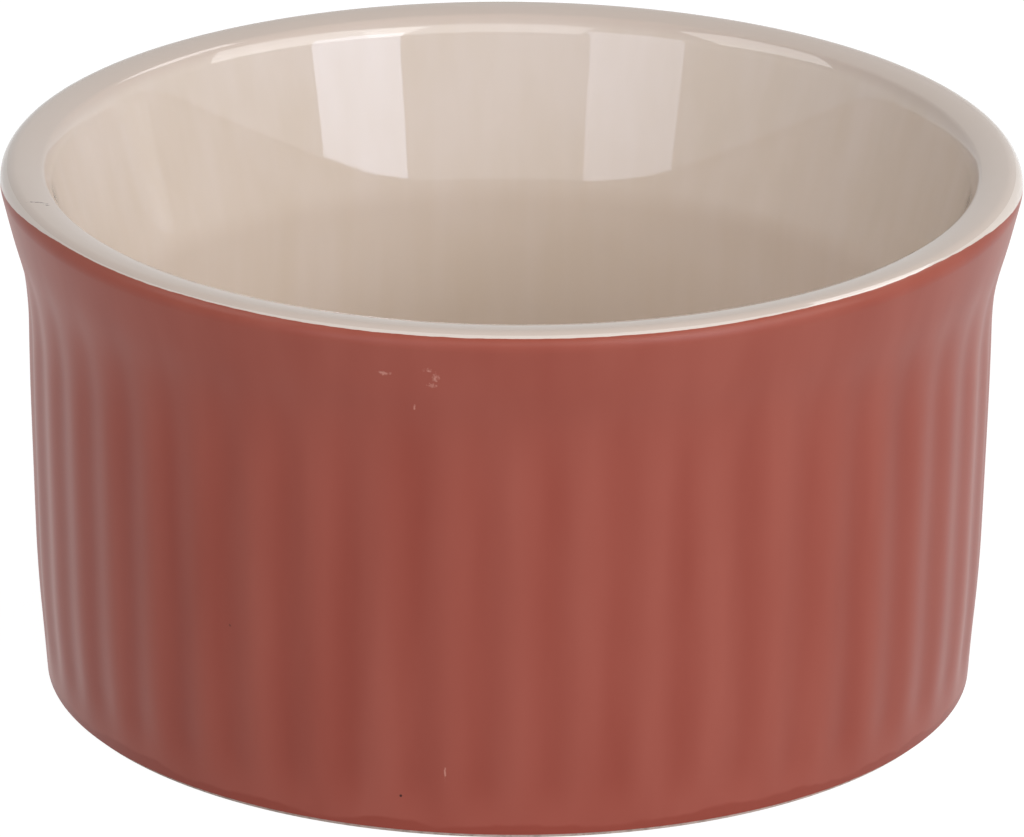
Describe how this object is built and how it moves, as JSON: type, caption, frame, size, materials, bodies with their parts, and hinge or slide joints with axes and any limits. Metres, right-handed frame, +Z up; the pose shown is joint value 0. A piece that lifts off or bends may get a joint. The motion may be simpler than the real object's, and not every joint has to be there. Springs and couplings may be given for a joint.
{
  "type": "ramekin",
  "caption": "Round flared ramekin with soft vertical flutes outside, a cream gloss liner glaze and a satin terracotta outside glaze.",
  "frame": {"origin": "middle of the foot's resting plane", "axes": "+Z up along the pot's axis, from the foot to the rim; +X to the right seen from the front, which is -Y"},
  "size_m": [0.095, 0.095, 0.0503],
  "materials": {
    "stoneware": "matte",
    "cream_glaze": "gloss",
    "terracotta_glaze": "satin"
  },
  "bodies": {
    "root": {"stoneware_body": "stoneware", "cream_liner_glaze": "cream_glaze", "terracotta_wall_glaze": "terracotta_glaze", "base_glaze": "terracotta_glaze"}
  },
  "joints": []
}
